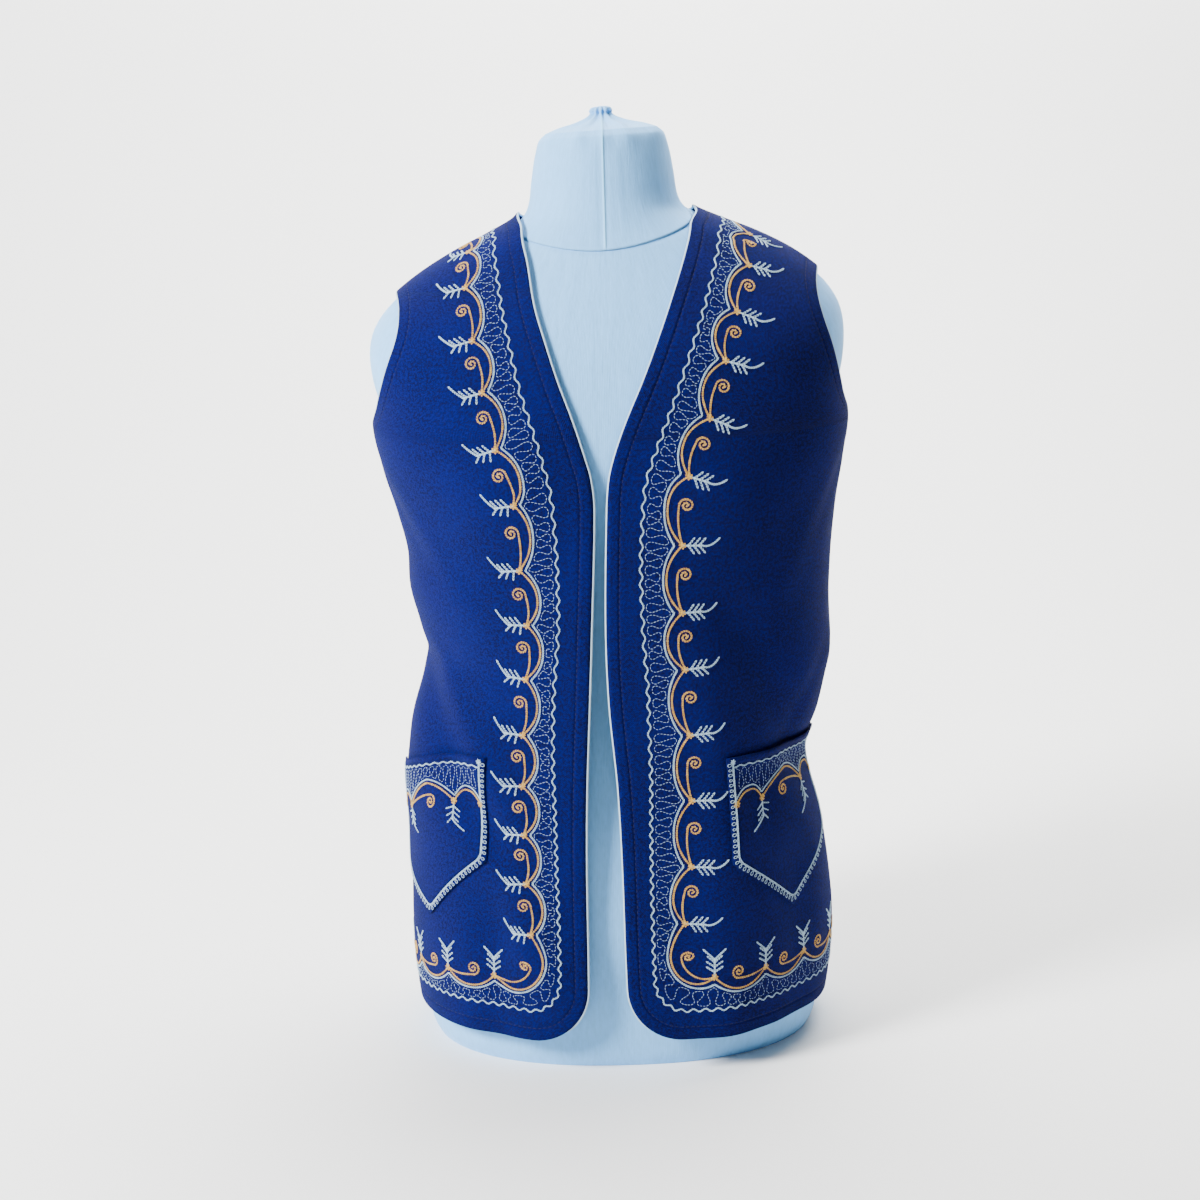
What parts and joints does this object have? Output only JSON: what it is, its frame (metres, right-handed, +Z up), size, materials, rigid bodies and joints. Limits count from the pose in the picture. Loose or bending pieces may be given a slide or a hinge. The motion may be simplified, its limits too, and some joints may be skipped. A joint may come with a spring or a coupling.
{
  "type": "embroidered vest on a limbless dress form",
  "caption": "Open sleeveless waistcoat with a deep V neck, rounded hem corners, pointed patch pockets and corded, embroidered edges, shown on a limbless dress form.",
  "frame": {"origin": "the middle of the form's flat base, on the surface that it stands on", "axes": "+Z up the form, -Y out of the vest's open front, +X to the wearer's left"},
  "size_m": [0.3671, 0.2596, 0.7248],
  "materials": {
    "vest_cloth": "matt royal blue wool twill with a short nap",
    "form_cover": "pale blue-white jersey, stretched smooth",
    "white_thread": "bluish white embroidery cotton",
    "gold_thread": "golden yellow embroidery cotton"
  },
  "bodies": {
    "root": {"form_torso": "form_cover", "form_neck": "form_cover", "vest_back": "vest_cloth", "vest_front_right": "vest_cloth", "vest_front_left": "vest_cloth", "pocket_right": "vest_cloth", "pocket_left": "vest_cloth", "cord_front_right": "white_thread", "cord_front_left": "white_thread", "cord_back_neck": "white_thread", "cord_back_hem": "white_thread", "cord_armhole_right": "white_thread", "cord_armhole_left": "white_thread"}
  },
  "joints": []
}
